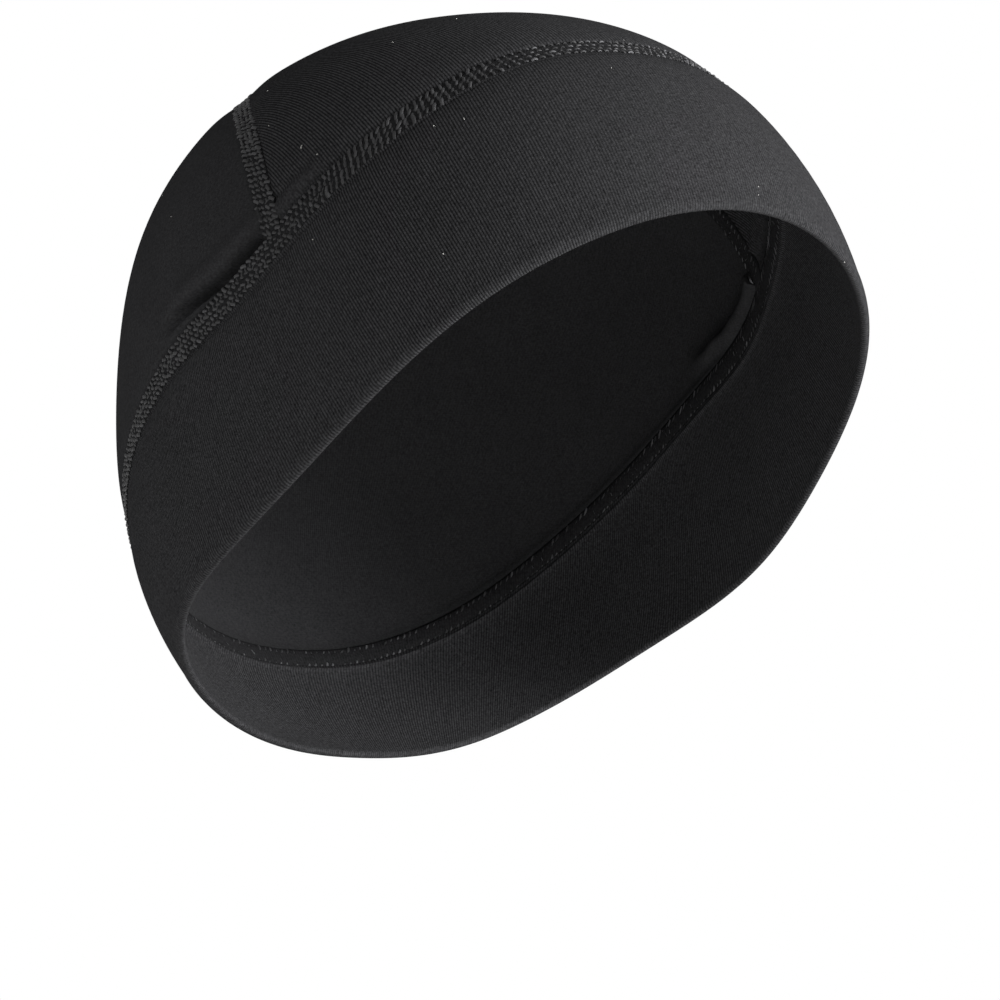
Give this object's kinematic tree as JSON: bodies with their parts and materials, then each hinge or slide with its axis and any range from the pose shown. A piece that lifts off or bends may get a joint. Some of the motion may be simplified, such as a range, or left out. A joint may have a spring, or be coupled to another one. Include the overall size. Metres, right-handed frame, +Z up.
{
  "type": "helmet liner cap",
  "caption": "Close-fitting stretch knit cap with a doubled band over forehead, ears and nape and a panelled crown, joined by flat seams; worn alone or under a helmet.",
  "frame": {"origin": "the inside of the crown at its top, where a wearer's head bears on the cap", "axes": "+Z up along the wearer's head, -Y toward the wearer's face, +X toward the wearer's left"},
  "size_m": [0.1464, 0.1888, 0.1596],
  "materials": {
    "band_knit": "matte charcoal stretch knit, doubled, with fine slanting ribs",
    "crown_knit": "matte charcoal stretch knit, one layer, with fine ribs",
    "seam_thread": "charcoal textured thread in rows over butted fabric edges"
  },
  "bodies": {
    "root": {"band": "band_knit", "band_seam": "seam_thread", "crown_front": "crown_knit", "crown_back": "crown_knit", "crown_seam": "seam_thread"}
  },
  "joints": []
}
